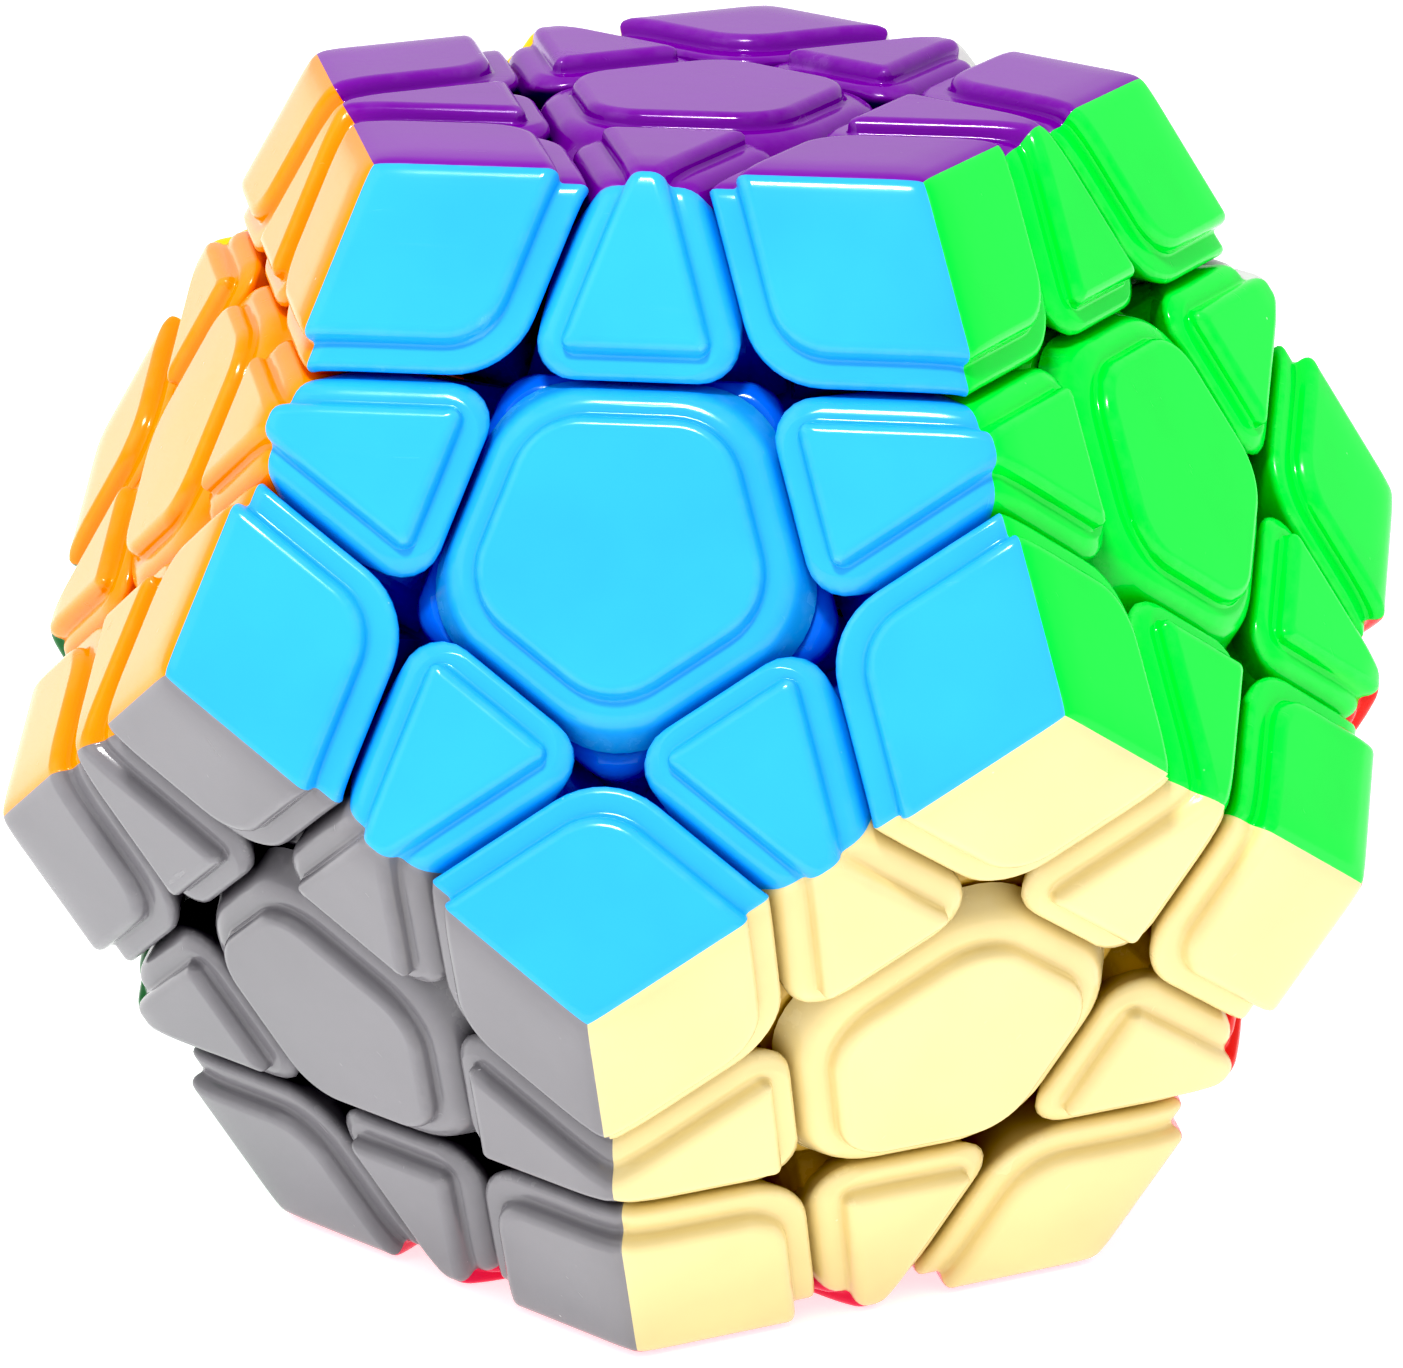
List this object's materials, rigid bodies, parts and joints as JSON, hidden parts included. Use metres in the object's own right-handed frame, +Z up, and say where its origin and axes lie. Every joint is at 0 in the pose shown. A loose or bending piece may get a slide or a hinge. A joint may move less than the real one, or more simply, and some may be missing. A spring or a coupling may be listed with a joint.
{
  "type": "dodecahedron twisty puzzle",
  "caption": "Stickerless dodecahedron twisty puzzle with stepped, raised tiles; face layers turn about screwed centres on a many-armed core.",
  "frame": {"origin": "middle of the bottom (pink) face, on the surface that the puzzle stands on", "axes": "+Z up, out of the purple face; -Y towards the cyan face, the front; +X to the front's right"},
  "size_m": [0.0786, 0.0826, 0.0668],
  "materials": {
    "purple": "glossy moulded ABS, purple all through",
    "pink": "glossy moulded ABS, pink all through",
    "cyan": "glossy moulded ABS, cyan all through",
    "lime": "glossy moulded ABS, lime all through",
    "white": "glossy moulded ABS, white all through",
    "yellow": "glossy moulded ABS, yellow all through",
    "orange": "glossy moulded ABS, orange all through",
    "cream": "glossy moulded ABS, cream all through",
    "red": "glossy moulded ABS, red all through",
    "blue": "glossy moulded ABS, blue all through",
    "green": "glossy moulded ABS, green all through",
    "grey": "glossy moulded ABS, grey all through",
    "core_plastic": "dark moulded nylon",
    "steel": "bright zinc-plated steel"
  },
  "bodies": {
    "puzzle_body": {"core_with_fixed_centres": "core_plastic", "corner_blue_green_yellow": "blue", "corner_cyan_cream_lime": "cyan", "corner_pink_green_blue": "pink", "corner_white_blue_yellow": "white", "corner_yellow_green_orange": "yellow", "edge_blue_green": "blue", "edge_blue_yellow": "blue", "edge_cream_lime": "cream", "edge_cyan_cream": "cyan", "edge_cyan_lime": "cyan", "edge_cyan_orange": "cyan", "edge_green_orange": "green", "edge_lime_white": "lime", "edge_pink_blue": "pink", "edge_pink_cream": "pink", "edge_pink_green": "pink", "edge_white_blue": "white", "edge_white_yellow": "white", "edge_yellow_green": "yellow", "edge_yellow_orange": "yellow"},
    "purple_layer": {"centre_base_purple": "purple", "centre_cap_purple": "purple", "corner_purple_cyan_lime": "purple", "corner_purple_lime_white": "purple", "corner_purple_orange_cyan": "purple", "corner_purple_white_yellow": "purple", "corner_purple_yellow_orange": "purple", "edge_purple_cyan": "purple", "edge_purple_lime": "purple", "edge_purple_orange": "purple", "edge_purple_white": "purple", "edge_purple_yellow": "purple"},
    "grey_layer": {"centre_base_grey": "grey", "centre_cap_grey": "grey", "corner_cyan_grey_cream": "cyan", "corner_cyan_orange_grey": "cyan", "corner_green_grey_orange": "green", "corner_pink_cream_grey": "pink", "corner_pink_grey_green": "pink", "edge_cream_grey": "cream", "edge_cyan_grey": "cyan", "edge_green_grey": "green", "edge_orange_grey": "orange", "edge_pink_grey": "pink"},
    "red_layer": {"centre_base_red": "red", "centre_cap_red": "red", "corner_cream_red_lime": "cream", "corner_lime_red_white": "lime", "corner_pink_blue_red": "pink", "corner_pink_red_cream": "pink", "corner_red_blue_white": "red", "edge_cream_red": "cream", "edge_lime_red": "lime", "edge_pink_red": "pink", "edge_red_blue": "red", "edge_red_white": "red"},
    "purple_screw": {"tension_screw_purple": "steel"},
    "grey_screw": {"tension_screw_grey": "steel"},
    "red_screw": {"tension_screw_red": "steel"}
  },
  "joints": [
    {"name": "purple_layer_turn", "type": "hinge", "parent": "puzzle_body", "child": "purple_layer", "pos_m": [0, 0, 0.03341], "axis": [0, 0, 1], "continuous": true},
    {"name": "grey_layer_turn", "type": "hinge", "parent": "puzzle_body", "child": "grey_layer", "pos_m": [0, 0, 0.03341], "axis": [-0.5257, -0.7236, -0.4472], "continuous": true},
    {"name": "red_layer_turn", "type": "hinge", "parent": "puzzle_body", "child": "red_layer", "pos_m": [0, 0, 0.03341], "axis": [0.8507, 0.2764, -0.4472], "continuous": true},
    {"name": "purple_screw_adjust", "type": "hinge", "parent": "puzzle_body", "child": "purple_screw", "pos_m": [0, 0, 0.03341], "axis": [0, 0, 1], "range_deg": [-360, 360]},
    {"name": "grey_screw_adjust", "type": "hinge", "parent": "puzzle_body", "child": "grey_screw", "pos_m": [0, 0, 0.03341], "axis": [-0.5257, -0.7236, -0.4472], "range_deg": [-360, 360]},
    {"name": "red_screw_adjust", "type": "hinge", "parent": "puzzle_body", "child": "red_screw", "pos_m": [0, 0, 0.03341], "axis": [0.8507, 0.2764, -0.4472], "range_deg": [-360, 360]}
  ]
}
